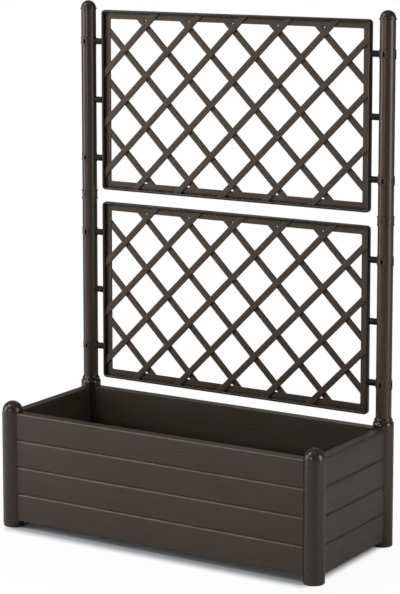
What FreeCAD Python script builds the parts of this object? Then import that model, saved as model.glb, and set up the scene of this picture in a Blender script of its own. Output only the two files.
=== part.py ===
import FreeCAD, Part
import math
import os

# A resin planter box on four round posts, with two lattice panels held between two tall rear poles.
# Millimetres, Z up, X to the right seen from the front, Y towards the back.
# The origin is on the ground, in the middle of the footprint.

# Base box
post_spacing_x = 944.0          # centre to centre of the corner posts, along the front
post_spacing_y = 374.0          # centre to centre of the corner posts, front to back
post_radius = 28.0
post_wall = 3.0
foot_height = 8.0
foot_edge_round = 3.0
foot_plug_height = 18.0
bead_radius = 1.8               # the thin raised line down each post's outward diagonal
bead_proud = 1.1

# Walls, each moulded as a stack of boards
wall_ground_gap = 20.0
board_height = 75.0
board_count = 4
groove_height = 9.5
groove_depth = 4.75
wall_outward = 16.0             # outer face, measured from the posts' centre line
wall_inward = 14.0              # inner face, measured from the posts' centre line
wall_skin = 3.0
wall_top_skin = 4.0
wall_top_round = 5.0
web_spacing = 95.0
web_thickness = 3.0

# Tongues of the walls, which slide down in the slots of the posts
tongue_neck = 6.0
tongue_head_width = 16.0
tongue_head_thickness = 4.0
tongue_head_inset = 3.0         # from the bore of the post to the outside of the head
tongue_rise = 10.0              # from the wall's lower edge up to the tongue
tongue_top_gap = 32.0           # from the wall's upper edge down to the tongue

# Floor of the box
floor_thickness = 3.0
floor_rise = 20.0               # from the walls' lower edge up to the floor's underside
floor_edge_depth = 5.0          # how far the floor's edge reaches into the walls
floor_rail_cover = 4.0          # solid resin round the groove that takes the floor's edge
floor_rib_height = 12.0
floor_rib_thickness = 3.0
floor_rib_spacing = 110.0
drain_radius = 6.0
drain_spacing = 110.0
drain_row_offset = 80.0

# Front caps and rear collars, both plugged into the posts
cap_band_height = 2.0
cap_wall = 3.0
plug_length = 28.0
plug_wall = 3.0
collar_band_height = 11.0
collar_shoulder_height = 9.0
collar_shoulder_radius = 24.5
collar_line_height = 1.4
collar_line_depth = 1.0
collar_ring_height = 3.2
collar_neck_height = 5.4
collar_lip = 0.9                # the collar's upper edge stands this far proud of the pole

# Rear poles
pole_radius = 21.0
pole_wall = 2.5
spigot_length = 30.0
spigot_wall = 3.0
boss_width = 17.0
boss_height = 30.0
boss_proud = 1.8
boss_draft = 1.2
boss_slot_width = 6.0
boss_slot_height = 13.0

# Coupler between the lower and the upper pole
coupler_height = 25.0
coupler_proud = 0.4
coupler_ridge_thickness = 3.0
coupler_ridge_proud = 2.0
coupler_pad_width = 13.5
coupler_pad_proud = 1.2
coupler_dimple_width = 5.0
coupler_dimple_height = 8.0
coupler_dimple_depth = 2.0

# Caps on the rear poles
finial_flange_height = 4.0
finial_flange_proud = 2.0
finial_wall = 2.5

# Trellis panels
panel_height = 508.0
panel_gap = 35.0                # between the lower and the upper panel
panel_margin = 0.5              # from the poles' outer ends to the panels' outer edges
panel_front = 7.0               # in front of the poles' centre line
panel_back = 9.0                # behind the poles' centre line
panel_corner_radius = 15.0
rim_width = 7.0
flange_width = 18.0
flange_thickness = 7.0
opening_corner_radius = 3.5
panel_edge_round = 1.5
strip_width = 15.5
front_strip_thickness = 5.5
back_strip_thickness = 5.0
strip_bevel = 2.0
strip_bevel_depth = 1.3
lattice_half_cell = 70.6        # half the diagonal of one diamond

# Pins between panels and poles
pin_length = 25.5               # from the panel's edge to the pole
pin_radius = 8.75
pin_pitch = 165.0               # from the middle pin to the upper and to the lower one
pin_spigot_radius = 4.0
pin_spigot_length = 5.0
pin_tongue_length = 6.0

# Fits
curved_gap = 0.3                # between curved faces that face each other
slot_gap = 0.3
floor_gap = 0.5
tongue_gap = 0.2

wall_bottom = wall_ground_gap
wall_top = wall_bottom + board_count * board_height
post_top = wall_top
post_bore = post_radius - post_wall
post_x = post_spacing_x / 2
post_y = post_spacing_y / 2
plug_radius = post_bore - curved_gap
tongue_bottom = wall_bottom + tongue_rise
tongue_top = wall_top - tongue_top_gap
floor_bottom = wall_bottom + floor_rise
floor_top = floor_bottom + floor_thickness
floor_groove_top = floor_top + floor_gap
pole_bore = pole_radius - pole_wall
spigot_radius = pole_bore - curved_gap
collar_height = (collar_band_height + collar_shoulder_height + collar_line_height
                 + collar_ring_height + collar_neck_height)
pole_length = panel_margin + panel_height + (panel_gap - coupler_height) / 2
lower_pole_bottom = post_top + collar_height
lower_pole_top = lower_pole_bottom + pole_length
coupler_middle = lower_pole_top + coupler_height / 2
upper_pole_bottom = lower_pole_top + coupler_height
upper_pole_top = upper_pole_bottom + pole_length
panel_half_width = post_x - pole_radius - pin_length
panel_offset = (panel_height + panel_gap) / 2
up = FreeCAD.Vector(0, 0, 1)


def vector(x, y, z):
    return FreeCAD.Vector(x, y, z)


def box(x0, x1, y0, y1, z0, z1):
    return Part.makeBox(x1 - x0, y1 - y0, z1 - z0, vector(x0, y0, z0))


def cylinder(radius, x, y, z0, z1):
    return Part.makeCylinder(radius, z1 - z0, vector(x, y, z0), up)


def turned(outline, x, y):
    # A solid of revolution about the upright line at x, y. Each step of the outline is a point
    # (radius, z) reached by a straight line, or a pair of points: one that an arc passes, and its end.
    edges = []
    here = vector(outline[0][0], 0, outline[0][1])
    for step in outline[1:] + [outline[0]]:
        if isinstance(step[0], tuple):
            passing = vector(step[0][0], 0, step[0][1])
            there = vector(step[1][0], 0, step[1][1])
            edges.append(Part.Arc(here, passing, there).toShape())
        else:
            there = vector(step[0], 0, step[1])
            edges.append(Part.LineSegment(here, there).toShape())
        here = there
    solid = Part.Face(Part.Wire(edges)).revolve(vector(0, 0, 0), up, 360)
    solid.translate(vector(x, y, 0))
    return solid


def upright_arc(start, end):
    # For a turned outline: the arc between two points that stands upright at the first one,
    # given as the point that it passes.
    inward = start[0] - end[0]
    rise = end[1] - start[1]
    radius = (inward ** 2 + rise ** 2) / (2 * inward)
    half_turn = math.asin(rise / radius) / 2
    return (start[0] - radius * (1 - math.cos(half_turn)), start[1] + radius * math.sin(half_turn))


def rounded_rectangle(half_width, z0, z1, radius, y0, y1):
    # An upright plate with four rounded corners, from y0 back to y1.
    plate = box(-half_width, half_width, y0, y1, z0, z1)
    corners = [edge for edge in plate.Edges if abs(edge.tangentAt(edge.FirstParameter).y) > 0.9]
    return plate.makeFillet(radius, corners)


def oval_wire(width, height, z, distance):
    # An upright oval with round ends, facing along X at the given distance from the axis.
    half = width / 2
    straight = height / 2 - half
    top = z + straight
    bottom = z - straight
    edges = [
        Part.LineSegment(vector(distance, half, bottom), vector(distance, half, top)).toShape(),
        Part.Arc(vector(distance, half, top), vector(distance, 0, top + half),
                 vector(distance, -half, top)).toShape(),
        Part.LineSegment(vector(distance, -half, top), vector(distance, -half, bottom)).toShape(),
        Part.Arc(vector(distance, -half, bottom), vector(distance, 0, bottom - half),
                 vector(distance, half, bottom)).toShape(),
    ]
    return Part.Wire(edges)


def oval_prism(width, height, z, near, far):
    return Part.Face(oval_wire(width, height, z, near)).extrude(vector(far - near, 0, 0))


def four_ways(solid):
    # The solid and its three copies, a quarter turn apart about the upright axis.
    copies = []
    for turn in range(4):
        copy = solid.copy()
        copy.rotate(vector(0, 0, 0), up, 90 * turn)
        copies.append(copy)
    return copies


def save(name, shape):
    shape.exportStep("parts/" + name + ".step")


def wall_outline(inset, top_inset, bottom):
    # The section of a wall as a closed wire in the Y-Z plane, with the outer face at negative y.
    # An inset gives the hollow inside it, which keeps the skin's thickness along the grooves.
    flank = math.atan2(groove_height / 2, groove_depth)
    outer = -wall_outward + inset
    inner = wall_inward - inset
    top = wall_top - top_inset
    apex = -wall_outward + groove_depth + inset / math.sin(flank)
    half_groove = (apex - outer) * math.tan(flank)
    corner = wall_top_round - min(inset, wall_top_round - 1)
    points = [vector(0, outer, bottom)]
    for board in range(1, board_count):
        seam = wall_bottom + board * board_height
        points.append(vector(0, outer, seam - half_groove))
        points.append(vector(0, apex, seam))
        points.append(vector(0, outer, seam + half_groove))
    points.append(vector(0, outer, top - corner))
    edges = [Part.LineSegment(a, b).toShape() for a, b in zip(points, points[1:])]
    bulge = corner * (1 - math.sqrt(0.5))
    edges.append(Part.Arc(points[-1], vector(0, outer + bulge, top - bulge),
                          vector(0, outer + corner, top)).toShape())
    rest = [vector(0, outer + corner, top), vector(0, inner, top), vector(0, inner, bottom), points[0]]
    edges += [Part.LineSegment(a, b).toShape() for a, b in zip(rest, rest[1:])]
    return Part.Wire(edges)


def wall(spacing, quarter_turns, distance):
    # A wall between two posts that stand the given spacing apart. It is made facing -Y with the
    # posts' centre line on the X axis, then turned and moved out to its own side of the box.
    end = spacing / 2
    reach = end - post_radius - curved_gap
    body = Part.Face(wall_outline(0, 0, wall_bottom)).extrude(vector(spacing, 0, 0))
    body.translate(vector(-end, 0, 0))

    hollow_half = reach - wall_skin
    chambers = max(1, round(2 * hollow_half / web_spacing))
    pitch = (2 * hollow_half + web_thickness) / chambers
    hollow = Part.Face(wall_outline(wall_skin, wall_top_skin, wall_bottom - 1))
    hollow = hollow.extrude(vector(pitch - web_thickness, 0, 0))
    for index in range(chambers):
        chamber = hollow.copy()
        chamber.translate(vector(-hollow_half + index * pitch, 0, 0))
        body = body.cut(chamber)

    groove_end = wall_inward - floor_edge_depth - floor_gap
    rail = box(-reach, reach, groove_end - floor_rail_cover, wall_inward - wall_skin / 2,
               floor_bottom - floor_rail_cover, floor_groove_top + floor_rail_cover)
    groove = box(-end, end, groove_end, wall_inward + 1, floor_bottom, floor_groove_top)
    seats = [cylinder(post_radius + curved_gap, side * end, 0, 0, wall_top) for side in (-1, 1)]
    body = body.fuse(rail).cut([groove] + seats)

    head_far = post_bore - tongue_head_inset
    neck_root = post_radius + curved_gap + wall_skin / 2
    for side in (-1, 1):
        neck_ends = sorted((side * (end - neck_root), side * (end - head_far)))
        head_ends = sorted((side * (end - head_far), side * (end - head_far + tongue_head_thickness)))
        neck = box(neck_ends[0], neck_ends[1], -tongue_neck / 2, tongue_neck / 2,
                   tongue_bottom, tongue_top)
        head = box(head_ends[0], head_ends[1], -tongue_head_width / 2, tongue_head_width / 2,
                   tongue_bottom, tongue_top)
        body = body.fuse([neck, head])
    body = body.removeSplitter()
    body.translate(vector(0, -distance, 0))
    body.rotate(vector(0, 0, 0), up, 90 * quarter_turns)
    return body


def floor_panel():
    # The floor: a ribbed sheet whose edges lie in grooves of the walls, notched round the posts,
    # with two rows of drain holes.
    edge_x = post_x - wall_inward + floor_edge_depth
    edge_y = post_y - wall_inward + floor_edge_depth
    rib_x = post_x - wall_inward - floor_gap
    rib_y = post_y - wall_inward - floor_gap
    rib_bottom = floor_bottom - floor_rib_height
    panel = box(-edge_x, edge_x, -edge_y, edge_y, floor_bottom, floor_top)
    ribs = []
    across = int(rib_x // floor_rib_spacing)
    for index in range(-across, across + 1):
        middle = index * floor_rib_spacing
        ribs.append(box(middle - floor_rib_thickness / 2, middle + floor_rib_thickness / 2,
                        -rib_y, rib_y, rib_bottom, floor_bottom))
    ribs.append(box(-rib_x, rib_x, -floor_rib_thickness / 2, floor_rib_thickness / 2,
                    rib_bottom, floor_bottom))
    panel = panel.fuse(ribs)
    drains = []
    along = int(rib_x / drain_spacing - 0.5)
    for index in range(-along - 1, along + 1):
        middle = (index + 0.5) * drain_spacing
        for row in (-1, 1):
            drains.append(cylinder(drain_radius, middle, row * drain_row_offset, rib_bottom, floor_top))
    notches = []
    for side_x in (-1, 1):
        for side_y in (-1, 1):
            notches.append(cylinder(post_radius + floor_gap, side_x * post_x, side_y * post_y,
                                    rib_bottom, floor_top))
    return panel.cut(drains + notches).removeSplitter()


def post(side_x, side_y):
    # A corner post: a tube with a bead on its outward diagonal and two slots, open at the top,
    # for the tongues of the walls that meet at it.
    x = side_x * post_x
    y = side_y * post_y
    tube = cylinder(post_radius, x, y, foot_height, post_top)
    reach = (post_radius + bead_proud - bead_radius) * math.sqrt(0.5)
    bead = cylinder(bead_radius, x + side_x * reach, y + side_y * reach, foot_height, post_top)
    bore = cylinder(post_bore, x, y, foot_height, post_top)
    half = tongue_neck / 2 + slot_gap
    inner = post_bore - post_wall
    outer = post_radius + post_wall
    xs = sorted((x - side_x * inner, x - side_x * outer))
    ys = sorted((y - side_y * inner, y - side_y * outer))
    slot_to_side = box(xs[0], xs[1], y - half, y + half, tongue_bottom, post_top)
    slot_to_end = box(x - half, x + half, ys[0], ys[1], tongue_bottom, post_top)
    return tube.fuse(bead).cut([bore, slot_to_side, slot_to_end]).removeSplitter()


def foot(side_x, side_y):
    # The glide under a post, with a hollow plug up into the post's bore.
    plug_top = foot_height + foot_plug_height
    arc_middle = foot_edge_round * (1 - math.sqrt(0.5))
    outline = [
        (0, 0),
        (post_radius - foot_edge_round, 0),
        ((post_radius - arc_middle, arc_middle), (post_radius, foot_edge_round)),
        (post_radius, foot_height),
        (plug_radius, foot_height),
        (plug_radius, plug_top),
        (plug_radius - plug_wall, plug_top),
        (plug_radius - plug_wall, foot_height),
        (0, foot_height),
    ]
    return turned(outline, side_x * post_x, side_y * post_y)


def front_cap(side):
    # A plain hollow dome on a front post, with a band below it and a plug into the bore.
    equator = post_top + cap_band_height
    plug_bottom = post_top - plug_length
    inner = post_radius - cap_wall
    plug_bore = plug_radius - plug_wall
    bore_top = equator + math.sqrt(inner ** 2 - plug_bore ** 2)
    slant = math.sqrt(0.5)
    rise = math.atan2(bore_top - equator, plug_bore)
    halfway = (rise + math.pi / 2) / 2
    outline = [
        (plug_bore, plug_bottom),
        (plug_radius, plug_bottom),
        (plug_radius, post_top),
        (post_radius, post_top),
        (post_radius, equator),
        ((post_radius * slant, equator + post_radius * slant), (0, equator + post_radius)),
        (0, equator + inner),
        ((inner * math.cos(halfway), equator + inner * math.sin(halfway)), (plug_bore, bore_top)),
    ]
    return turned(outline, side * post_x, -post_y)


def rear_collar(side):
    # The reducer on a rear post: a shoulder down from the post's size to the pole's, with a fine
    # line and a ring, a hollow neck, a plug into the post and a spigot up into the pole.
    shoulder_bottom = post_top + collar_band_height
    shoulder_top = shoulder_bottom + collar_shoulder_height
    line_top = shoulder_top + collar_line_height
    ring_top = line_top + collar_ring_height
    top = lower_pole_bottom
    lip = pole_radius + collar_lip
    line = collar_shoulder_radius - collar_line_depth
    bore = spigot_radius - spigot_wall
    plug_bore = plug_radius - plug_wall
    shoulder_pass = upright_arc((post_radius, shoulder_bottom), (collar_shoulder_radius, shoulder_top))
    neck_pass = upright_arc((lip, top), (collar_shoulder_radius, ring_top))
    outline = [
        (plug_bore, post_top - plug_length),
        (plug_radius, post_top - plug_length),
        (plug_radius, post_top),
        (post_radius, post_top),
        (post_radius, shoulder_bottom),
        (shoulder_pass, (collar_shoulder_radius, shoulder_top)),
        (line, shoulder_top),
        (line, line_top),
        (collar_shoulder_radius, line_top),
        (collar_shoulder_radius, ring_top),
        (neck_pass, (lip, top)),
        (spigot_radius, top),
        (spigot_radius, top + spigot_length),
        (bore, top + spigot_length),
        (bore, shoulder_bottom),
        (plug_bore, post_top),
    ]
    return turned(outline, side * post_x, post_y)


def boss_heights(middle):
    return (middle - pin_pitch, middle + pin_pitch)


def pole(side, bottom, panel_middle):
    # A tube with two sets of four slotted oval bosses, level with the panel's end pins.
    tube = cylinder(pole_radius, 0, 0, bottom, bottom + pole_length)
    envelope = cylinder(pole_radius + boss_proud, 0, 0, bottom, bottom + pole_length)
    bosses = []
    slots = []
    for height in boss_heights(panel_middle):
        root = oval_wire(boss_width, boss_height, height, pole_bore)
        face = oval_wire(boss_width - 2 * boss_draft, boss_height - 2 * boss_draft, height,
                         pole_radius + 2 * boss_proud)
        bosses += four_ways(Part.makeLoft([root, face], True).common(envelope))
        slots += four_ways(oval_prism(boss_slot_width, boss_slot_height, height,
                                      pole_bore / 2, pole_radius + 3 * boss_proud))
    bore = cylinder(pole_bore, 0, 0, bottom, bottom + pole_length)
    solid = tube.fuse(bosses).cut([bore] + slots).removeSplitter()
    solid.translate(vector(side * post_x, post_y, 0))
    return solid


def pole_coupler(side):
    # The joint between two poles: a grooved collar with four dimpled pads and two hidden spigots.
    bottom = lower_pole_top
    top = upper_pole_bottom
    body = pole_radius + coupler_proud
    ridge = pole_radius + coupler_ridge_proud
    bore = spigot_radius - spigot_wall
    outline = [
        (bore, bottom - spigot_length),
        (spigot_radius, bottom - spigot_length),
        (spigot_radius, bottom),
        (ridge, bottom),
        (ridge, bottom + coupler_ridge_thickness),
        (body, bottom + coupler_ridge_thickness),
        (body, top - coupler_ridge_thickness),
        (ridge, top - coupler_ridge_thickness),
        (ridge, top),
        (spigot_radius, top),
        (spigot_radius, top + spigot_length),
        (bore, top + spigot_length),
    ]
    solid = turned(outline, 0, 0)
    pad_height = coupler_height - 2 * coupler_ridge_thickness
    pad = box(pole_bore, ridge, -coupler_pad_width / 2, coupler_pad_width / 2,
              coupler_middle - pad_height / 2, coupler_middle + pad_height / 2)
    pad = pad.common(cylinder(body + coupler_pad_proud, 0, 0, bottom, top))
    dimple = oval_prism(coupler_dimple_width, coupler_dimple_height, coupler_middle,
                        body + coupler_pad_proud - coupler_dimple_depth, ridge + coupler_ridge_proud)
    solid = solid.fuse(four_ways(pad)).cut(four_ways(dimple)).removeSplitter()
    solid.translate(vector(side * post_x, post_y, 0))
    return solid


def pole_cap(side):
    # The cap on a rear pole: a flat flange, a hollow dome and a plug into the pole.
    flange_top = upper_pole_top + finial_flange_height
    flange = pole_radius + finial_flange_proud
    inner = pole_radius - finial_wall
    bore = spigot_radius - spigot_wall
    bore_top = flange_top + math.sqrt(inner ** 2 - bore ** 2)
    halfway = (math.atan2(bore_top - flange_top, bore) + math.pi / 2) / 2
    slant = math.sqrt(0.5)
    outline = [
        (bore, upper_pole_top - spigot_length),
        (spigot_radius, upper_pole_top - spigot_length),
        (spigot_radius, upper_pole_top),
        (flange, upper_pole_top),
        (flange, flange_top),
        (pole_radius, flange_top),
        ((pole_radius * slant, flange_top + pole_radius * slant), (0, flange_top + pole_radius)),
        (0, flange_top + inner),
        ((inner * math.cos(halfway), flange_top + inner * math.sin(halfway)), (bore, bore_top)),
    ]
    return turned(outline, side * post_x, post_y)


def lattice_strip(offset, slope, y_front, thickness, middle):
    # One bevelled strip at 45 degrees, where x = slope * (z - middle) + offset along its centre.
    length = 2 * (panel_half_width + panel_height)
    half = strip_width / 2
    section = [
        (-half, y_front + thickness), (-half, y_front + strip_bevel_depth),
        (-half + strip_bevel, y_front), (half - strip_bevel, y_front),
        (half, y_front + strip_bevel_depth), (half, y_front + thickness),
    ]
    corners = [vector(across, y, -length / 2) for across, y in section]
    strip = Part.Face(Part.makePolygon(corners + [corners[0]])).extrude(vector(0, 0, length))
    strip.rotate(vector(0, 0, 0), vector(0, 1, 0), 45 * slope)
    strip.translate(vector(offset, 0, middle))
    return strip


def trellis(middle):
    # A lattice panel: a frame whose rim stands forward of its flange, with two layers of strips
    # that run over the flange up to the rim, and sockets for the pins in both upright edges.
    z0 = middle - panel_height / 2
    z1 = middle + panel_height / 2
    bar = rim_width + flange_width
    strips_front = panel_back - back_strip_thickness - front_strip_thickness
    flange_front = strips_front + panel_edge_round
    flange_back = flange_front + flange_thickness
    inner_radius = panel_corner_radius - rim_width
    frame = rounded_rectangle(panel_half_width, z0, z1, panel_corner_radius, -panel_front, panel_back)
    front_recess = rounded_rectangle(panel_half_width - rim_width, z0 + rim_width, z1 - rim_width,
                                     inner_radius, -panel_front, flange_front)
    back_recess = rounded_rectangle(panel_half_width - rim_width, z0 + rim_width, z1 - rim_width,
                                    inner_radius, flange_back, panel_back)
    opening = rounded_rectangle(panel_half_width - bar, z0 + bar, z1 - bar,
                                opening_corner_radius, -panel_front, panel_back)
    frame = frame.cut([front_recess, back_recess, opening])
    sharp_planes = (-panel_front, panel_back)
    rim_edges = []
    for edge in frame.Edges:
        ys = [vertex.Point.y for vertex in edge.Vertexes]
        if any(max(abs(y - plane) for y in ys) < 0.01 for plane in sharp_planes):
            rim_edges.append(edge)
    frame = frame.makeFillet(panel_edge_round, rim_edges)

    half_x = panel_half_width - bar
    half_z = panel_height / 2 - bar
    strips = []
    step = 1
    while step * lattice_half_cell < half_x + half_z - strip_width * math.sqrt(0.5):
        for sign in (-1, 1):
            offset = sign * step * lattice_half_cell
            strips.append(lattice_strip(offset, 1, strips_front, front_strip_thickness, middle))
            strips.append(lattice_strip(offset, -1, strips_front + front_strip_thickness,
                                        back_strip_thickness, middle))
        step += 2
    reach = rounded_rectangle(panel_half_width - rim_width / 2, z0 + rim_width / 2, z1 - rim_width / 2,
                              panel_corner_radius - rim_width / 2, strips_front, panel_back)
    lattice = [strip.common(reach) for strip in strips]
    panel = frame.fuse(lattice)
    sockets = []
    for side in (-1, 1):
        for height in (middle - pin_pitch, middle, middle + pin_pitch):
            depth = pin_spigot_length + curved_gap
            sockets.append(Part.makeCylinder(pin_spigot_radius + curved_gap, depth,
                                             vector(side * panel_half_width, 0, height),
                                             vector(-side, 0, 0)))
    panel = panel.cut(sockets).removeSplitter()
    panel.translate(vector(0, post_y, 0))
    return panel


def pin(side, height, at_boss):
    # One pin from a panel's edge to the pole: a spigot into the panel, a round body with a saddle
    # end on the pole and, at a boss, a flat tongue into the boss's slot.
    edge = panel_half_width
    seat = pole_radius + (boss_proud if at_boss else 0) + curved_gap
    body = Part.makeCylinder(pin_radius, post_x - edge, vector(edge, 0, height), vector(1, 0, 0))
    body = body.cut(cylinder(seat, post_x, 0, height - 2 * pin_radius, height + 2 * pin_radius))
    spigot = Part.makeCylinder(pin_spigot_radius, pin_spigot_length, vector(edge, 0, height),
                               vector(-1, 0, 0))
    body = body.fuse(spigot)
    if at_boss:
        tongue_width = boss_slot_width - 2 * tongue_gap
        tongue_height = boss_slot_height - 2 * tongue_gap
        start = post_x - seat - pin_radius / 2
        body = body.fuse(oval_prism(tongue_width, tongue_height, height, start,
                                    post_x - seat + pin_tongue_length))
    body = body.removeSplitter()
    body.translate(vector(0, post_y, 0))
    if side < 0:
        body.rotate(vector(0, post_y, height), up, 180)
    return body


def pin_set(side, middle):
    heights = ((middle - pin_pitch, True), (middle, False), (middle + pin_pitch, True))
    return Part.makeCompound([pin(side, height, at_boss) for height, at_boss in heights])


os.makedirs("parts", exist_ok=True)

save("front_wall", wall(post_spacing_x, 0, post_y))
save("right_wall", wall(post_spacing_y, 1, post_x))
save("back_wall", wall(post_spacing_x, 2, post_y))
save("left_wall", wall(post_spacing_y, 3, post_x))
save("floor_panel", floor_panel())

panel_middles = {"lower": coupler_middle - panel_offset, "upper": coupler_middle + panel_offset}
pole_bottoms = {"lower": lower_pole_bottom, "upper": upper_pole_bottom}
for side, side_name in ((-1, "left"), (1, "right")):
    for depth, depth_name in ((-1, "front"), (1, "rear")):
        save(depth_name + "_" + side_name + "_post", post(side, depth))
        save(depth_name + "_" + side_name + "_foot", foot(side, depth))
    save("front_" + side_name + "_cap", front_cap(side))
    save("rear_" + side_name + "_collar", rear_collar(side))
    save(side_name + "_pole_coupler", pole_coupler(side))
    save(side_name + "_pole_cap", pole_cap(side))
    for level, middle in panel_middles.items():
        save(level + "_" + side_name + "_pole", pole(side, pole_bottoms[level], middle))
        save(level + "_" + side_name + "_pins", pin_set(side, middle))
for level, middle in panel_middles.items():
    save(level + "_trellis", trellis(middle))
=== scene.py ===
import bmesh
import bpy
import math
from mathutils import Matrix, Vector


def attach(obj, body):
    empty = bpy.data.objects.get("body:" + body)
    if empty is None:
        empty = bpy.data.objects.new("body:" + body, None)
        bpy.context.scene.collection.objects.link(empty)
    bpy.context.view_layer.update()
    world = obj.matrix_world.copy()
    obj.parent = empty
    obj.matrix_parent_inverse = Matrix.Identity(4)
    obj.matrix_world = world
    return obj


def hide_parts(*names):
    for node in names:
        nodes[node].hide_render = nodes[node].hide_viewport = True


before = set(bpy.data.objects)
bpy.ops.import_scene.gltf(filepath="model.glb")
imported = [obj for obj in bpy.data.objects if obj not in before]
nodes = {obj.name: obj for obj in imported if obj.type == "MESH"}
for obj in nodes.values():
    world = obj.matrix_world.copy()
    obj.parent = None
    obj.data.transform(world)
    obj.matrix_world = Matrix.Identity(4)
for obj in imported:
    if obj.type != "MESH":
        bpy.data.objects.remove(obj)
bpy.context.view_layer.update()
quarter = math.pi / 2
print("frame loaded:", len(nodes), "nodes")


# Camera: the photograph's viewing angle, from the right of the front and a little above.
photo = {"height": 594, "opticalRow": 178.2}      # pixels, and the row that the lens looks at
cameraSet = {
    "eye": (2.988, -4.742, 1.729),
    "azimuth": 32.08,       # degrees to the right of the front
    "pitch": 7.65,          # degrees downwards
    "focalPixels": 2131.7,      # focal length in the photograph's pixels
    "sensor": 36.0,
    "clipEnd": 60.0,
}


def makeCamera():
    camera = bpy.data.objects.new("photo_camera", bpy.data.cameras.new("photo_camera"))
    bpy.context.scene.collection.objects.link(camera)
    camera.location = cameraSet["eye"]
    camera.rotation_euler = (math.radians(90 - cameraSet["pitch"]), 0, math.radians(cameraSet["azimuth"]))
    camera.data.sensor_width = cameraSet["sensor"]
    camera.data.lens = cameraSet["focalPixels"] * cameraSet["sensor"] / photo["height"]
    camera.data.shift_y = (photo["opticalRow"] - photo["height"] / 2) / photo["height"]
    camera.data.clip_end = cameraSet["clipEnd"]
    bpy.context.scene.camera = camera


# Shader helpers
def newMaterial(name):
    material = bpy.data.materials.new(name)
    material.use_nodes = True
    return material, material.node_tree, material.node_tree.nodes["Principled BSDF"]


def addNode(tree, kind, links=None, **settings):
    # A node with settings by name. Each link feeds one of its inputs from an output or holds a value.
    node = tree.nodes.new("ShaderNode" + kind)
    for name, value in settings.items():
        setattr(node, name, value)
    for name, source in (links or {}).items():
        if isinstance(source, bpy.types.NodeSocket):
            tree.links.new(source, node.inputs[name])
        else:
            node.inputs[name].default_value = source
    return node


def newGroup(name, inputs, outputs):
    # A shader group with its inputs as (name, kind, value) and its outputs as (name, kind).
    tree = bpy.data.node_groups.new(name, "ShaderNodeTree")
    for label, kind, value in inputs:
        socket = tree.interface.new_socket(label, in_out="INPUT", socket_type="NodeSocket" + kind)
        if value is not None:
            socket.default_value = value
    for label, kind in outputs:
        tree.interface.new_socket(label, in_out="OUTPUT", socket_type="NodeSocket" + kind)
    return tree, tree.nodes.new("NodeGroupInput"), tree.nodes.new("NodeGroupOutput")


def useGroup(tree, group, links):
    node = tree.nodes.new("ShaderNodeGroup")
    node.node_tree = group
    for name, source in links.items():
        if isinstance(source, bpy.types.NodeSocket):
            tree.links.new(source, node.inputs[name])
        else:
            node.inputs[name].default_value = source
    return node


# Light: wide soft panels low at both sides, a smaller one high on the left, a narrow one in front, and
# weak light from behind and above. Azimuth is counted to the right of the front, as the camera's is.
lightSet = {
    "upper_left": {"azimuth": -53, "elevation": 50, "distance": 4.0, "size": (1.1, 1.1), "watts": 48},
    "front": {"azimuth": -7, "elevation": 12, "distance": 4.6, "size": (0.25, 0.25), "watts": 36},
    "left_panel": {"azimuth": -60, "elevation": 12, "distance": 3.6, "size": (1.5, 2.2), "watts": 60},
    "right_panel": {"azimuth": 92, "elevation": 12, "distance": 3.6, "size": (1.3, 2.2), "watts": 60},
    "rear_fill": {"azimuth": -160, "elevation": 30, "distance": 4.2, "size": (1.6, 1.6), "watts": 8},
    "overhead": {"azimuth": 10, "elevation": 80, "distance": 3.6, "size": (2.4, 2.4), "watts": 10},
}
surroundings = {
    "frontStrength": 0.13,
    "backStrength": 0.15,
    "mirroredShare": 0.06,      # how bright the white behind shows in reflections
    "worldFade": (-0.2, 0.4),   # where the world turns from front to back, by the Y of a direction
    "target": (0.0, 0.0, 0.55),     # what the lights point at
}


def makeLight(name, azimuth, elevation, distance, size, watts):
    lamp = bpy.data.lights.new(name, "AREA")
    lamp.shape = "RECTANGLE"
    lamp.size, lamp.size_y = size
    lamp.energy = watts
    turn = math.radians(azimuth)
    rise = math.radians(elevation)
    away = Vector((math.sin(turn) * math.cos(rise), -math.cos(turn) * math.cos(rise), math.sin(rise)))
    light = bpy.data.objects.new(name, lamp)
    bpy.context.scene.collection.objects.link(light)
    light.location = Vector(surroundings["target"]) + away * distance
    light.rotation_euler = away.to_track_quat("Z", "Y").to_euler()
    light.visible_camera = False


def seenShare(tree, behind):
    # How much plain white a ray sees: all of it from the camera and through glass, and in a
    # reflection only what lies behind the object, because the studio in front is dark.
    rays = addNode(tree, "LightPath")
    mirrored = addNode(tree, "Math", {0: rays.outputs["Is Glossy Ray"], 1: behind}, operation="MULTIPLY")
    mirrored = addNode(tree, "Math", {0: mirrored.outputs["Value"], 1: surroundings["mirroredShare"]},
                       operation="MULTIPLY")
    direct = addNode(tree, "Math", {0: rays.outputs["Is Camera Ray"], 1: rays.outputs["Is Transmission Ray"]},
                     operation="MAXIMUM")
    either = addNode(tree, "Math", {0: direct.outputs["Value"], 1: mirrored.outputs["Value"]},
                     operation="MAXIMUM")
    return either.outputs["Value"]


def makeWorld():
    world = bpy.data.worlds.new("white_studio")
    bpy.context.scene.world = world
    world.use_nodes = True
    tree = world.node_tree
    place = addNode(tree, "TexCoord")
    axes = addNode(tree, "SeparateXYZ", {"Vector": place.outputs["Generated"]})
    start, end = surroundings["worldFade"]
    behind = addNode(tree, "MapRange", {"Value": axes.outputs["Y"], "From Min": start, "From Max": end})
    dim = addNode(tree, "MapRange", {"Value": behind.outputs["Result"],
                                     "To Min": surroundings["frontStrength"],
                                     "To Max": surroundings["backStrength"]})
    seen = seenShare(tree, behind.outputs["Result"])
    strength = addNode(tree, "Mix", {"Factor": seen, "A": dim.outputs["Result"], "B": 1.0})
    background = tree.nodes["Background"]
    background.inputs["Color"].default_value = (1, 1, 1, 1)
    tree.links.new(strength.outputs["Result"], background.inputs["Strength"])


# Modelling helpers, in metres and radians. A face looks along an axis when its normal passes facing.
tolerance = 0.00001
sharpTurn = 1.0
facing = 0.9


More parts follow.
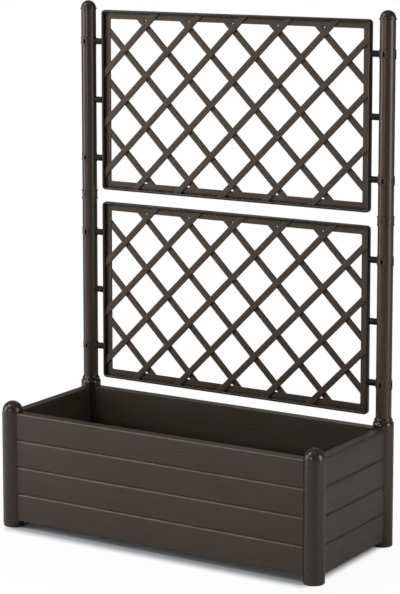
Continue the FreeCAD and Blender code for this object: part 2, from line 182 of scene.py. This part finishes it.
def startPiece(name, kind, **place):
    # A new primitive on its own, open in edit mode with everything selected.
    bpy.ops.object.select_all(action="DESELECT")
    getattr(bpy.ops.mesh, "primitive_" + kind + "_add")(**place)
    piece = bpy.context.object
    piece.name = name
    piece.data.name = name
    bpy.ops.object.transform_apply(location=True, rotation=True, scale=True)
    bpy.ops.object.mode_set(mode="EDIT")
    return piece


def pickFaces(test):
    # In edit mode: selects just the faces whose middle and normal pass the test.
    bpy.ops.mesh.select_mode(type="FACE")
    bpy.ops.mesh.select_all(action="DESELECT")
    shape = bmesh.from_edit_mesh(bpy.context.object.data)
    for face in shape.faces:
        face.select_set(test(face.calc_center_median(), face.normal))
    bmesh.update_edit_mesh(bpy.context.object.data)


def pickEdges(test, openOnly=False, sharpOnly=False):
    # In edit mode: selects just the edges whose two ends pass the test.
    bpy.ops.mesh.select_mode(type="EDGE")
    bpy.ops.mesh.select_all(action="DESELECT")
    shape = bmesh.from_edit_mesh(bpy.context.object.data)
    for edge in shape.edges:
        wanted = test(edge.verts[0].co, edge.verts[1].co) and (edge.is_boundary or not openOnly)
        edge.select_set(wanted and (edge.calc_face_angle(0) > sharpTurn or not sharpOnly))
    bmesh.update_edit_mesh(bpy.context.object.data)


def near(value, wanted):
    return abs(value - wanted) < tolerance


def cut(place, direction, **more):
    bpy.ops.mesh.bisect(plane_co=place, plane_no=direction, **more)


def push(x, y, z):
    bpy.ops.mesh.extrude_region_move(TRANSFORM_OT_translate={"value": (x, y, z)})


def cleanShell():
    bpy.ops.mesh.select_all(action="SELECT")
    bpy.ops.mesh.remove_doubles(threshold=tolerance)
    bpy.ops.mesh.normals_make_consistent(inside=False)
    bpy.ops.object.mode_set(mode="OBJECT")


def softenEdges(piece, width, steps, angle=35):
    # Rounds the edges that turn by more than the angle, and keeps the flat faces flat in shading.
    bevel = piece.modifiers.new("soft_edges", "BEVEL")
    bevel.limit_method = "ANGLE"
    bevel.angle_limit = math.radians(angle)
    bevel.width = width
    bevel.segments = steps
    bevel.use_clamp_overlap = False
    bevel.harden_normals = True
    bpy.context.view_layer.objects.active = piece
    piece.select_set(True)
    bpy.ops.object.shade_smooth()
    bpy.ops.object.modifier_apply(modifier=bevel.name)


def copyPiece(piece, name, move):
    bpy.ops.object.select_all(action="DESELECT")
    piece.select_set(True)
    bpy.context.view_layer.objects.active = piece
    bpy.ops.object.duplicate(linked=False)
    copied = bpy.context.object
    copied.name = name
    copied.data.name = name
    copied.location = move
    bpy.ops.object.transform_apply(location=True, rotation=False, scale=False)
    return copied


# Shader groups: grain, tube lines and a painted highlight on upward slopes
grainShape = {
    "sway": {"Scale": 6.0, "Detail": 2.0},
    "fine": {"Detail": 5.0, "Roughness": 0.62},
    "broad": {"Scale": 70.0, "Detail": 3.0},
    "pores": {"From Min": 0.36, "From Max": 0.62},
    "poreShare": 0.7,
    "broadShare": 0.3,
}
tubeShape = {
    "lines": {"Detail": 3.0},
    "blotch": {"Scale": 45.0, "Detail": 4.0},
}
# painted highlight: which upward slopes get a paler colour in place of light from above
paintedHighlightShape = {
    "samples": 6,
    "leaning": {"From Min": 0.25, "From Max": 0.6},     # Z of the normal from which a slope counts
    "tipped": {"From Min": 0.98, "From Max": 0.88},     # and at which it is level again
    "speckle": {"Scale": 35.0, "Detail": 2.0},
    "broken": {"From Min": 0.3, "From Max": 0.6, "To Min": 0.4, "To Max": 1.0},
}


def makeGrainGroup():
    # Moulded wood grain: long broken streaks along X, with a slow waviness. Vector in metres.
    tree, given, made = newGroup(
        "mouldedGrain",
        [("Vector", "Vector", None), ("Streaks", "Float", 260.0), ("Stretch", "Float", 0.03),
         ("Waviness", "Float", 0.006)],
        [("Height", "Float"), ("Tone", "Float")])
    sway = addNode(tree, "TexNoise", dict(grainShape["sway"], Vector=given.outputs["Vector"]))
    noiseMiddle = (0.5, 0.5, 0.5)
    swayed = addNode(tree, "VectorMath", {0: sway.outputs["Color"], 1: noiseMiddle}, operation="SUBTRACT")
    scaled = addNode(tree, "VectorMath", {0: swayed.outputs["Vector"], "Scale": given.outputs["Waviness"]},
                     operation="SCALE")
    bent = addNode(tree, "VectorMath", {0: given.outputs["Vector"], 1: scaled.outputs["Vector"]},
                   operation="ADD")
    flattened = addNode(tree, "CombineXYZ", {"X": given.outputs["Stretch"], "Y": 1.0, "Z": 1.0})
    drawn = addNode(tree, "VectorMath", {0: bent.outputs["Vector"], 1: flattened.outputs["Vector"]},
                    operation="MULTIPLY")
    fine = addNode(tree, "TexNoise", dict(grainShape["fine"], Vector=drawn.outputs["Vector"],
                                          Scale=given.outputs["Streaks"]))
    broad = addNode(tree, "TexNoise", dict(grainShape["broad"], Vector=drawn.outputs["Vector"]))
    pores = addNode(tree, "MapRange", dict(grainShape["pores"], Value=fine.outputs["Fac"]))
    dents = addNode(tree, "Math", {0: pores.outputs["Result"], 1: grainShape["poreShare"]},
                    operation="MULTIPLY")
    height = addNode(tree, "Math", {0: broad.outputs["Fac"], 1: grainShape["broadShare"],
                                    2: dents.outputs["Value"]}, operation="MULTIPLY_ADD")
    tree.links.new(height.outputs["Value"], made.inputs["Height"])
    tree.links.new(pores.outputs["Result"], made.inputs["Tone"])
    return tree


def makeDrawnGroup():
    # Faint lines along Z, as a drawn tube carries, or an even fine texture where nothing is stretched,
    # with small blotches in the gloss.
    tree, given, made = newGroup(
        "drawnTube",
        [("Vector", "Vector", None), ("Lines", "Float", 900.0), ("Stretch", "Vector", (1.0, 1.0, 0.012))],
        [("Height", "Float"), ("Blotch", "Float")])
    squeezed = addNode(tree, "VectorMath", {0: given.outputs["Vector"], 1: given.outputs["Stretch"]},
                       operation="MULTIPLY")
    lines = addNode(tree, "TexNoise", dict(tubeShape["lines"], Vector=squeezed.outputs["Vector"],
                                           Scale=given.outputs["Lines"]))
    blotch = addNode(tree, "TexNoise", dict(tubeShape["blotch"], Vector=given.outputs["Vector"]))
    tree.links.new(lines.outputs["Fac"], made.inputs["Height"])
    tree.links.new(blotch.outputs["Fac"], made.inputs["Blotch"])
    return tree


def makeEdgeGroup():
    # Painted highlight on slopes, as on grooves and rounded edges: 1 where a face leans upward towards the
    # light, 0 on upright
    #  and level ones, broken up by noise. The normal rounds every edge off.
    tree, given, made = newGroup(
        "edgeSheen",
        [("Vector", "Vector", None), ("Radius", "Float", 0.0015)],
        [("Mask", "Float"), ("Normal", "Vector")])
    soft = addNode(tree, "Bevel", {"Radius": given.outputs["Radius"]}, samples=paintedHighlightShape["samples"])
    axes = addNode(tree, "SeparateXYZ", {"Vector": soft.outputs["Normal"]})
    leaning = addNode(tree, "MapRange", dict(paintedHighlightShape["leaning"], Value=axes.outputs["Z"]))
    tipped = addNode(tree, "MapRange", dict(paintedHighlightShape["tipped"], Value=axes.outputs["Z"]))
    slope = addNode(tree, "Math", {0: leaning.outputs["Result"], 1: tipped.outputs["Result"]},
                    operation="MULTIPLY")
    speckle = addNode(tree, "TexNoise", dict(paintedHighlightShape["speckle"], Vector=given.outputs["Vector"]))
    broken = addNode(tree, "MapRange", dict(paintedHighlightShape["broken"], Value=speckle.outputs["Fac"]))
    paintedHighlight = addNode(tree, "Math", {0: slope.outputs["Value"], 1: broken.outputs["Result"]},
                   operation="MULTIPLY")
    tree.links.new(paintedHighlight.outputs["Value"], made.inputs["Mask"])
    tree.links.new(soft.outputs["Normal"], made.inputs["Normal"])
    return tree


grainGroup = makeGrainGroup()
drawnGroup = makeDrawnGroup()
edgeGroup = makeEdgeGroup()


cloudShape = {
    "noise": {"Scale": 5.0, "Detail": 3.0},
    "fade": {"From Min": 0.3, "From Max": 1.3},
}


def grainedResin(name, turn, dark, light, grain, gloss):
    # Moulded resin with wood grain. Turn brings the grain's direction onto X.
    material, tree, shader = newMaterial(name)
    place = addNode(tree, "TexCoord")
    turned = addNode(tree, "Mapping", {"Vector": place.outputs["Object"], "Rotation": turn})
    grained = useGroup(tree, grainGroup, dict(grain["pattern"], Vector=turned.outputs["Vector"]))
    edge = useGroup(tree, edgeGroup, {"Vector": place.outputs["Object"], "Radius": grain["edge"]})
    cloud = addNode(tree, "TexNoise", dict(cloudShape["noise"], Vector=place.outputs["Object"]))
    tone = addNode(tree, "Math", {0: grained.outputs["Tone"], 1: grain["contrast"], 2: cloud.outputs["Fac"]},
                   operation="MULTIPLY_ADD")
    faded = addNode(tree, "MapRange", dict(cloudShape["fade"], Value=tone.outputs["Value"]))
    colour = addNode(tree, "Mix", {"Factor": faded.outputs["Result"], 6: dark, 7: light}, data_type="RGBA")
    # painted highlight: a paler colour on upward slopes, grooves and rounded edges
    paintedHighlight = addNode(tree, "Mix", {"Factor": edge.outputs["Mask"], 6: colour.outputs[2], 7: grain["paintedHighlight"]},
                   data_type="RGBA")
    rough = addNode(tree, "MapRange", {"Value": grained.outputs["Tone"], "To Min": gloss[1],
                                       "To Max": gloss[0]})
    relief = addNode(tree, "Bump", {"Height": grained.outputs["Height"], "Distance": grain["depth"],
                                    "Normal": edge.outputs["Normal"]})
    shader.inputs["Specular Tint"].default_value = warmSheen
    tree.links.new(paintedHighlight.outputs[2], shader.inputs["Base Color"])
    tree.links.new(rough.outputs["Result"], shader.inputs["Roughness"])
    tree.links.new(relief.outputs["Normal"], shader.inputs["Normal"])
    return material


textures = {
    "drawn": {"Lines": 900.0, "Stretch": (1.0, 1.0, 0.012)},
    "even": {"Lines": 160.0, "Stretch": (1.0, 1.0, 1.0)},
}
smoothEdge = 0.001
glossFade = {"From Min": 0.3, "From Max": 0.7}


def smoothResin(name, dark, light, gloss, depth, texture="drawn", sheen=0.5):
    # Smooth resin: satin gloss and soft edges, with faint lines along Z where it is a drawn tube.
    material, tree, shader = newMaterial(name)
    place = addNode(tree, "TexCoord")
    surface = useGroup(tree, drawnGroup, dict(textures[texture], Vector=place.outputs["Object"]))
    edge = useGroup(tree, edgeGroup, {"Vector": place.outputs["Object"], "Radius": smoothEdge})
    colour = addNode(tree, "Mix", {"Factor": surface.outputs["Blotch"], 6: dark, 7: light}, data_type="RGBA")
    rough = addNode(tree, "MapRange", dict(glossFade, Value=surface.outputs["Blotch"]))
    rough.inputs["To Min"].default_value = gloss[0]
    rough.inputs["To Max"].default_value = gloss[1]
    relief = addNode(tree, "Bump", {"Height": surface.outputs["Height"], "Distance": depth,
                                    "Normal": edge.outputs["Normal"]})
    shader.inputs["Specular Tint"].default_value = warmSheen
    shader.inputs["Specular IOR Level"].default_value = sheen
    tree.links.new(colour.outputs[2], shader.inputs["Base Color"])
    tree.links.new(rough.outputs["Result"], shader.inputs["Roughness"])
    tree.links.new(relief.outputs["Normal"], shader.inputs["Normal"])
    return material


warmSheen = (1.0, 0.86, 0.74, 1)
wallGrain = {
    "pattern": {"Streaks": 260.0, "Stretch": 0.03, "Waviness": 0.006},
    "edge": 0.0018,         # how far the shader rounds an edge
    "depth": 0.0002,
    "contrast": 0.4,
    # painted highlight colour on the walls' groove slopes and top edges
    "paintedHighlight": (0.120, 0.099, 0.075, 1),
}
wallColours = {
    "dark": (0.022, 0.0175, 0.013, 1),
    "light": (0.038, 0.031, 0.023, 1),
    "gloss": (0.38, 0.52),
}
latticeGrain = {
    "pattern": {"Streaks": 420.0, "Stretch": 0.04, "Waviness": 0.003},
    "edge": 0.001,
    "depth": 0.0002,
    "contrast": 0.6,
    # painted highlight colour, close to the light tone here
    "paintedHighlight": (0.036, 0.026, 0.019, 1),
}
latticeColours = {
    "dark": (0.022, 0.0155, 0.0115, 1),
    "light": (0.038, 0.027, 0.020, 1),
    "gloss": (0.45, 0.58),
}

longWallResin = grainedResin("long_wall_resin", (0, 0, 0), grain=wallGrain, **wallColours)
# the short walls get no painted highlight: its colour is their own light tone
shortWallResin = grainedResin("short_wall_resin", (0, 0, quarter),
                              grain=dict(wallGrain, paintedHighlight=wallColours["light"]), **wallColours)
railResin = grainedResin("rail_resin", (0, 0, 0), grain=latticeGrain, **latticeColours)
stileResin = grainedResin("stile_resin", (0, quarter, 0), grain=latticeGrain, **latticeColours)
risingStripResin = grainedResin("rising_strip_resin", (0, quarter / 2, 0), grain=latticeGrain,
                                **latticeColours)
fallingStripResin = grainedResin("falling_strip_resin", (0, -quarter / 2, 0), grain=latticeGrain,
                                 **latticeColours)

smoothLooks = {
    "post": {"dark": (0.0105, 0.0088, 0.0067, 1), "light": (0.0165, 0.0138, 0.0108, 1),
             "gloss": (0.25, 0.30), "depth": 0.000004, "sheen": 0.6},
    "pole": {"dark": (0.026, 0.018, 0.0135, 1), "light": (0.038, 0.027, 0.020, 1), "gloss": (0.32, 0.38),
             "depth": 0.000004},
    "cap": {"dark": (0.018, 0.014, 0.011, 1), "light": (0.024, 0.019, 0.015, 1), "gloss": (0.27, 0.33),
            "depth": 0.000006, "texture": "even"},
    # painted shade: the rim is near black, far darker than the flange of the same moulding; its gloss is real
    "rim": {"dark": (0.005, 0.004, 0.0035, 1), "light": (0.008, 0.0065, 0.0055, 1), "gloss": (0.30, 0.36),
            "depth": 0.000006, "texture": "even"},
    "pins": {"dark": (0.004, 0.004, 0.004, 1), "light": (0.006, 0.006, 0.006, 1), "gloss": (0.50, 0.60),
             "depth": 0.000006, "texture": "even", "sheen": 0.2},
    "plain": {"dark": (0.014, 0.013, 0.012, 1), "light": (0.020, 0.018, 0.016, 1), "gloss": (0.45, 0.55),
              "depth": 0.00002, "texture": "even"},
}
smoothResins = {}
for look, colours in smoothLooks.items():
    smoothResins[look] = smoothResin(look + "_resin", **colours)


def dressFrame():
    resins = smoothResins
    choice = {"long": longWallResin, "short": shortWallResin, "trellis": railResin, "post": resins["post"],
              "collar": resins["post"], "pole": resins["pole"], "coupler": resins["pole"],
              "cap": resins["cap"], "pins": resins["pins"], "foot": resins["plain"],
              "panel": resins["plain"]}
    for name, node in nodes.items():
        kind = name.split("_")[-1]
        if kind == "wall":
            kind = "long" if name.split("_")[0] in ("front", "back") else "short"
        for slot in node.material_slots:
            slot.material = choice[kind]


# Trellis panels: a deep rim round a thinner flange, and two layers of strips that run over the flange.
trellisSet = {
    "width": 0.851,
    "height": 0.508,
    "middles": {"lower": 0.6045, "upper": 1.1475},
    "rimFront": 0.180,
    "rimBack": 0.196,
    "flangeFront": 0.1895,
    "flangeBack": 0.194,
    "rimWidth": 0.007,
    "rimRound": 0.0032,
    "moat": (0.0035, 0.001),       # width and depth of the groove inside the rim
    "flangeWidth": 0.018,
    "cornerRound": 0.011,
    "openingRound": 0.0035,
    "edgeRound": 0.0008,
    "steps": {"corner": 6, "rim": 5, "opening": 6, "edge": 3, "strip": 2},
    "openingCore": 0.1,     # only the opening's own faces have their middle this near the centre
    "grainStart": 0.0001,   # how far past the groove the flange's grain starts
    "stripCount": 8,
    "stripLength": 1.4,
    "stripWidth": 0.0172,
    "stripChamfer": 0.0008,
    "stripCrown": 0.0003,
    "stripRound": 0.0004,
    "stripAngle": 25,       # degrees of turn from which a strip's edge is rounded
    "halfCell": 0.0706,     # half the diagonal of one diamond
    "frontStrip": (0.1855, 0.1912),
    "backStrip": (0.1908, 0.196),
}


def makeFrame():
    values = trellisSet
    steps = values["steps"]
    core = values["openingCore"]
    bar = values["rimWidth"] + values["flangeWidth"]
    border = startPiece("trellis_frame", "plane", size=1, location=(0, values["rimFront"], 0),
                        rotation=(quarter, 0, 0))
    bpy.ops.transform.resize(value=(values["width"], 1, values["height"]))
    bpy.ops.mesh.select_mode(type="VERT")
    bpy.ops.mesh.bevel(offset=values["cornerRound"], segments=steps["corner"], affect="VERTICES")
    moatWidth, moatDepth = values["moat"]
    bpy.ops.mesh.inset(thickness=values["rimWidth"], depth=0)
    push(0, values["flangeFront"] - values["rimFront"] + moatDepth, 0)
    bpy.ops.mesh.inset(thickness=moatWidth, depth=0)
    push(0, -moatDepth, 0)
    bpy.ops.mesh.delete(type="ONLY_FACE")
    # the outer wall, and the rim behind
    pickEdges(lambda a, b: near(a.y, values["rimFront"]) and near(b.y, values["rimFront"]), openOnly=True)
    depth = values["rimBack"] - values["rimFront"]
    bpy.ops.mesh.extrude_edges_move(TRANSFORM_OT_translate={"value": (0, depth, 0)})
    bpy.ops.mesh.edge_face_add()
    bpy.ops.mesh.inset(thickness=values["rimWidth"], depth=0)
    push(0, values["flangeBack"] - values["rimBack"], 0)
    bpy.ops.mesh.delete(type="ONLY_FACE")
    bpy.ops.mesh.select_all(action="SELECT")
    bpy.ops.mesh.normals_make_consistent(inside=False)
    for y in (values["rimFront"], values["rimBack"]):
        pickEdges(lambda a, b: near(a.y, y) and near(b.y, y), sharpOnly=True)
        bpy.ops.mesh.bevel(offset=values["rimRound"], segments=steps["rim"])
    # the opening
    bpy.ops.mesh.select_mode(type="VERT")
    bpy.ops.mesh.select_all(action="DESELECT")
    bpy.ops.mesh.primitive_plane_add(size=1, location=(0, values["flangeFront"], 0), rotation=(quarter, 0, 0))
    bpy.ops.transform.resize(value=(values["width"] - 2 * bar, 1, values["height"] - 2 * bar))
    bpy.ops.mesh.bevel(offset=values["openingRound"], segments=steps["opening"], affect="VERTICES")
    push(0, values["flangeBack"] - values["flangeFront"], 0)
    pickFaces(lambda middle, normal: abs(normal.y) > facing
              and abs(middle.x) < core and abs(middle.z) < core)
    bpy.ops.mesh.delete(type="ONLY_FACE")
    for y in (values["flangeFront"], values["flangeBack"]):
        pickEdges(lambda a, b: near(a.y, y) and near(b.y, y), openOnly=True)
        bpy.ops.mesh.bridge_edge_loops()
    # a smooth rim whose near-black colour, also on the groove inside it, is painted shade, and grain along
    # each bar of the flange
    for resin in (smoothResins["rim"], railResin, stileResin):
        border.data.materials.append(resin)
    edgeX = values["width"] / 2 - values["rimWidth"] - moatWidth + values["grainStart"]
    edgeZ = values["height"] / 2 - values["rimWidth"] - moatWidth + values["grainStart"]
    for index, upright in ((1, False), (2, True)):
        pickFaces(lambda middle, normal: abs(middle.x) < edgeX and abs(middle.z) < edgeZ
                  and (abs(middle.x) - edgeX > abs(middle.z) - edgeZ) == upright)
        border.active_material_index = index
        bpy.ops.object.material_slot_assign()
    cleanShell()
    softenEdges(border, values["edgeRound"], steps["edge"])
    return border


def makeStrips(layer, slope, resin):
    # Slope is 1 for the strips that rise to the right, and -1 for those that fall.
    values = trellisSet
    front, back = values[layer + "Strip"]
    middle = (front + back) / 2
    strips = startPiece("trellis_" + layer + "_strips", "cube", size=1, location=(0, middle, 0))
    bpy.ops.transform.resize(value=(values["stripLength"], back - front, values["stripWidth"]))
    pickEdges(lambda a, b: near(a.y, front) and near(b.y, front) and not near(a.x, b.x))
    bpy.ops.mesh.bevel(offset=values["stripChamfer"], segments=1)
    pickFaces(lambda middle, normal: normal.y < -facing)
    cut((0, 0, 0), (0, 0, 1))
    pickEdges(lambda a, b: near(a.y, front) and near(a.z, 0) and near(b.z, 0))
    bpy.ops.transform.translate(value=(0, -values["stripCrown"], 0))
    bpy.ops.mesh.select_all(action="SELECT")
    bpy.ops.transform.rotate(value=slope * quarter / 2, orient_axis="Y", center_override=(0, middle, 0))
    step = 2 * values["halfCell"]
    bpy.ops.transform.translate(value=(-(values["stripCount"] - 1) / 2 * step, 0, 0))
    for index in range(values["stripCount"] - 1):
        bpy.ops.mesh.duplicate_move(TRANSFORM_OT_translate={"value": (step, 0, 0)})
    reachX = (values["width"] - values["rimWidth"]) / 2
    reachZ = (values["height"] - values["rimWidth"]) / 2
    for x, z in ((1, 0), (-1, 0), (0, 1), (0, -1)):
        bpy.ops.mesh.select_all(action="SELECT")
        cut((x * reachX, 0, z * reachZ), (x, 0, z), clear_outer=True, use_fill=True)
    strips.data.materials.append(resin)
    cleanShell()
    softenEdges(strips, values["stripRound"], values["steps"]["strip"], angle=values["stripAngle"])
    return strips


def makeTrellises():
    patterns = [
        makeFrame(),
        makeStrips("front", 1, risingStripResin),
        makeStrips("back", -1, fallingStripResin),
    ]
    for level, height in trellisSet["middles"].items():
        for pattern in patterns:
            piece = copyPiece(pattern, level + "_" + pattern.name, (0, 0, height))
            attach(piece, "root")
            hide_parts(level + "_trellis")
    for pattern in patterns:
        bpy.data.objects.remove(pattern)


# Walls: each is moulded as four boards over a row of hollow chambers that are open below.
wallSet = {
    "places": {
        "front": {"spacing": 0.944, "distance": 0.187, "turn": 0, "resin": longWallResin},
        "right": {"spacing": 0.374, "distance": 0.472, "turn": 1, "resin": shortWallResin},
        "back": {"spacing": 0.944, "distance": 0.187, "turn": 2, "resin": longWallResin},
        "left": {"spacing": 0.374, "distance": 0.472, "turn": 3, "resin": shortWallResin},
    },
    "bottom": 0.020,
    "top": 0.320,
    "outer": -0.016,        # from the posts' centre line, with the wall facing the front
    "inner": 0.014,
    "skin": 0.003,
    "topSkin": 0.004,
    "seams": (0.095, 0.170, 0.245),
    "grooveHalf": 0.0038,       # half the groove's height
    "grooveDepth": 0.0042,
    "lipRound": 0.0009,
    "topRound": 0.005,
    "edgeRound": 0.0007,
    "steps": {"lip": 3, "top": 5, "edge": 2},
    "chamberPitch": 0.095,
    "webThickness": 0.003,
    "seat": 0.0283,         # radius of the hollow ends round the posts
    "cutter": {"vertices": 96, "depth": 1, "middle": 0.2},
    "rail": (0.036, 0.0475, 0.0045),            # bottom, top and outer side, round the floor's edge
    "floorGroove": (0.040, 0.0435, 0.0085),     # bottom, top and how far out it reaches
    "tongue": {"bottom": 0.030, "top": 0.288, "neck": 0.006, "head": 0.016, "start": 0.0298,
               "headFar": 0.022, "headThickness": 0.004},
}


def addTongue(end, side):
    # The T-shaped tongue that slides down into a post. Side is 1 at the wall's right end, -1 at its left.
    values = wallSet["tongue"]
    middle = (values["bottom"] + values["top"]) / 2
    tall = values["top"] - values["bottom"]
    parts = (
        (values["start"], values["headFar"], values["neck"]),
        (values["headFar"], values["headFar"] - values["headThickness"], values["head"]),
    )
    for start, stop, width in parts:
        bpy.ops.mesh.select_all(action="DESELECT")
        bpy.ops.mesh.primitive_cube_add(size=1, location=(side * (end - (start + stop) / 2), 0, middle))
        bpy.ops.transform.resize(value=(start - stop, width, tall))


def makeWall(side, spacing, distance, turn, resin):
    values = wallSet
    steps = values["steps"]
    end = spacing / 2
    bottom, top, outer, inner = values["bottom"], values["top"], values["outer"], values["inner"]
    hollowEnd = end - values["seat"] - values["skin"]
    chambers = max(1, round(2 * hollowEnd / values["chamberPitch"]))
    pitch = (2 * hollowEnd + values["webThickness"]) / chambers
    starts = [-hollowEnd + index * pitch for index in range(chambers)]
    width = pitch - values["webThickness"]
    railBottom, railTop, railOuter = values["rail"]
    hollowOuter = outer + values["skin"]
    hollowInner = inner - values["skin"]

    wall = startPiece(side + "_wall_boards", "cube", size=1,
                      location=(0, (outer + inner) / 2, (bottom + top) / 2))
    bpy.ops.transform.resize(value=(spacing, inner - outer, top - bottom))

    # chambers, pushed up from the underside past the rail that takes the floor's edge
    def isUnderside(middle, normal):
        return normal.z < -facing and near(middle.z, bottom)

    for start in starts:
        for x in (start, start + width):
            pickFaces(isUnderside)
            cut((x, 0, 0), (1, 0, 0))
    for y in (hollowOuter, railOuter, hollowInner):
        pickFaces(isUnderside)
        cut((0, y, 0), (0, 1, 0))

    def isChamber(middle, low, high):
        return low < middle.y < high and any(start < middle.x < start + width for start in starts)

    pickFaces(lambda middle, normal: isUnderside(middle, normal)
              and isChamber(middle, hollowOuter, hollowInner))
    push(0, 0, railBottom - bottom)
    pickFaces(lambda middle, normal: near(middle.z, railBottom) and isChamber(middle, hollowOuter, railOuter))
    push(0, 0, railTop - railBottom)
    push(0, 0, top - values["topSkin"] - railTop)
    pickFaces(lambda middle, normal: near(middle.y, railOuter) and middle.z > railTop
              and abs(normal.y) > facing)
    push(0, hollowInner - railOuter, 0)

    # V grooves between the boards, outside and in the chambers behind
    for seam in values["seams"]:
        for z in (seam - values["grooveHalf"], seam, seam + values["grooveHalf"]):
            pickFaces(lambda middle, normal: near(middle.y, outer) or near(middle.y, hollowOuter))
            cut((0, 0, z), (0, 0, 1))
        pickEdges(lambda a, b: near(a.z, seam) and near(b.z, seam) and near(a.y, b.y)
                  and (near(a.y, outer) or near(a.y, hollowOuter)))
        bpy.ops.transform.translate(value=(0, values["grooveDepth"], 0))
    lips = [seam + sign * values["grooveHalf"] for seam in values["seams"] for sign in (-1, 1)]
    pickEdges(lambda a, b: near(a.z, b.z) and near(a.y, outer) and near(b.y, outer)
              and any(near(a.z, lip) for lip in lips))
    bpy.ops.mesh.bevel(offset=values["lipRound"], segments=steps["lip"])
    pickEdges(lambda a, b: near(a.z, top) and near(b.z, top) and near(a.y, outer) and near(b.y, outer))
    bpy.ops.mesh.bevel(offset=values["topRound"], segments=steps["top"])

    # the groove for the floor's edge
    grooveBottom, grooveTop, grooveEnd = values["floorGroove"]
    for z in (grooveBottom, grooveTop):
        pickFaces(lambda middle, normal: near(middle.y, inner))
        cut((0, 0, z), (0, 0, 1))
    pickFaces(lambda middle, normal: near(middle.y, inner) and grooveBottom < middle.z < grooveTop)
    push(0, grooveEnd - inner, 0)
    cleanShell()

    # hollow ends that fit round the posts
    tool = values["cutter"]
    for x in (-end, end):
        bpy.ops.mesh.primitive_cylinder_add(vertices=tool["vertices"], radius=values["seat"],
                                            depth=tool["depth"], location=(x, 0, tool["middle"]))
        cutter = bpy.context.object
        hollow = wall.modifiers.new("post_seat", "BOOLEAN")
        hollow.object = cutter
        hollow.operation = "DIFFERENCE"
        hollow.solver = "MANIFOLD"
        bpy.ops.object.select_all(action="DESELECT")
        bpy.context.view_layer.objects.active = wall
        wall.select_set(True)
        bpy.ops.object.modifier_apply(modifier=hollow.name)
        bpy.data.objects.remove(cutter)
    bpy.ops.object.mode_set(mode="EDIT")
    addTongue(end, -1)
    addTongue(end, 1)
    bpy.ops.object.mode_set(mode="OBJECT")
    softenEdges(wall, values["edgeRound"], steps["edge"])

    angle = turn * quarter
    wall.rotation_euler = (0, 0, angle)
    wall.location = (math.sin(angle) * distance, -math.cos(angle) * distance, 0)
    bpy.ops.object.transform_apply(location=True, rotation=True, scale=True)
    wall.data.materials.clear()
    wall.data.materials.append(resin)
    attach(wall, "root")
    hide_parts(side + "_wall")


# The floor keeps the object's shadow close to it, deepened by a painted shadow in a darker colour on the
# footprint,
#  and fades into the white background further out. Its distances are counted from the footprint outwards.
floorSet = {
    "size": 60.0,
    "footprint": (0.450, 0.211, 0.0),       # half sizes of the ground that stays in full shadow
    "near": (0.008, 0.045, 0.95),           # from, to and share of plain white reached there
    "far": (0.06, 0.50),                    # from and to, where it is all white
    "paintedShadow": (0.55, 0.56, 0.585, 1),   # painted shadow: a darker colour on the footprint
    "paintedShadowTo": 0.016,                  # and where the colour around it is reached
    "around": (0.88, 0.895, 0.93, 1),
    "roughness": 0.9,
    "behind": (-0.8, 0.2),                  # where the floor's mirrored white starts and is full, by Y
}


def makeFloor():
    values = floorSet
    bpy.ops.object.select_all(action="DESELECT")
    bpy.ops.mesh.primitive_plane_add(size=values["size"], location=(0, 0, 0))
    floor = bpy.context.object
    floor.name = "studio_floor"
    material, tree, shader = newMaterial("studio_white")
    shader.inputs["Roughness"].default_value = values["roughness"]
    place = addNode(tree, "TexCoord")
    folded = addNode(tree, "VectorMath", {0: place.outputs["Object"]}, operation="ABSOLUTE")
    beyond = addNode(tree, "VectorMath", {0: folded.outputs["Vector"], 1: values["footprint"]},
                     operation="SUBTRACT")
    outside = addNode(tree, "VectorMath", {0: beyond.outputs["Vector"], 1: (0, 0, 0)}, operation="MAXIMUM")
    distance = addNode(tree, "VectorMath", {0: outside.outputs["Vector"]}, operation="LENGTH")
    outward = addNode(tree, "MapRange", {"Value": distance.outputs["Value"],
                                         "From Max": values["paintedShadowTo"]})
    # painted shadow: the floor is darker on the footprint and reaches the colour around it just outside
    colour = addNode(tree, "Mix", {"Factor": outward.outputs["Result"], 6: values["paintedShadow"],
                                   7: values["around"]}, data_type="RGBA")
    tree.links.new(colour.outputs[2], shader.inputs["Base Color"])
    start, end, level = values["near"]
    close = addNode(tree, "MapRange", {"Value": distance.outputs["Value"], "From Min": start, "From Max": end,
                                       "To Min": 0.0, "To Max": level}, interpolation_type="SMOOTHSTEP")
    far = addNode(tree, "MapRange", {"Value": distance.outputs["Value"], "From Min": values["far"][0],
                                     "From Max": values["far"][1], "To Min": 0.0, "To Max": 1.0 - level},
                  interpolation_type="SMOOTHSTEP")
    white = addNode(tree, "Math", {0: close.outputs["Result"], 1: far.outputs["Result"]}, operation="ADD")
    axes = addNode(tree, "SeparateXYZ", {"Vector": place.outputs["Object"]})
    start, end = values["behind"]
    behind = addNode(tree, "MapRange", {"Value": axes.outputs["Y"], "From Min": start, "From Max": end})
    share = addNode(tree, "Math", {0: seenShare(tree, behind.outputs["Result"]), 1: white.outputs["Value"]},
                    operation="MULTIPLY")
    glow = addNode(tree, "Emission", {"Color": (1, 1, 1, 1), "Strength": 1.0})
    blend = addNode(tree, "MixShader", {0: share.outputs["Value"], 1: shader.outputs["BSDF"],
                                        2: glow.outputs["Emission"]})
    tree.links.new(blend.outputs["Shader"], tree.nodes["Material Output"].inputs["Surface"])
    floor.data.materials.append(material)


makeCamera()
for lightName, values in lightSet.items():
    makeLight(lightName, **values)
makeWorld()
makeFloor()
print("studio ready")
dressFrame()
print("frame dressed")
makeTrellises()
print("trellises made")
for side, place in wallSet["places"].items():
    makeWall(side, **place)
print("walls made")

bpy.context.scene.view_settings.view_transform = "Standard"
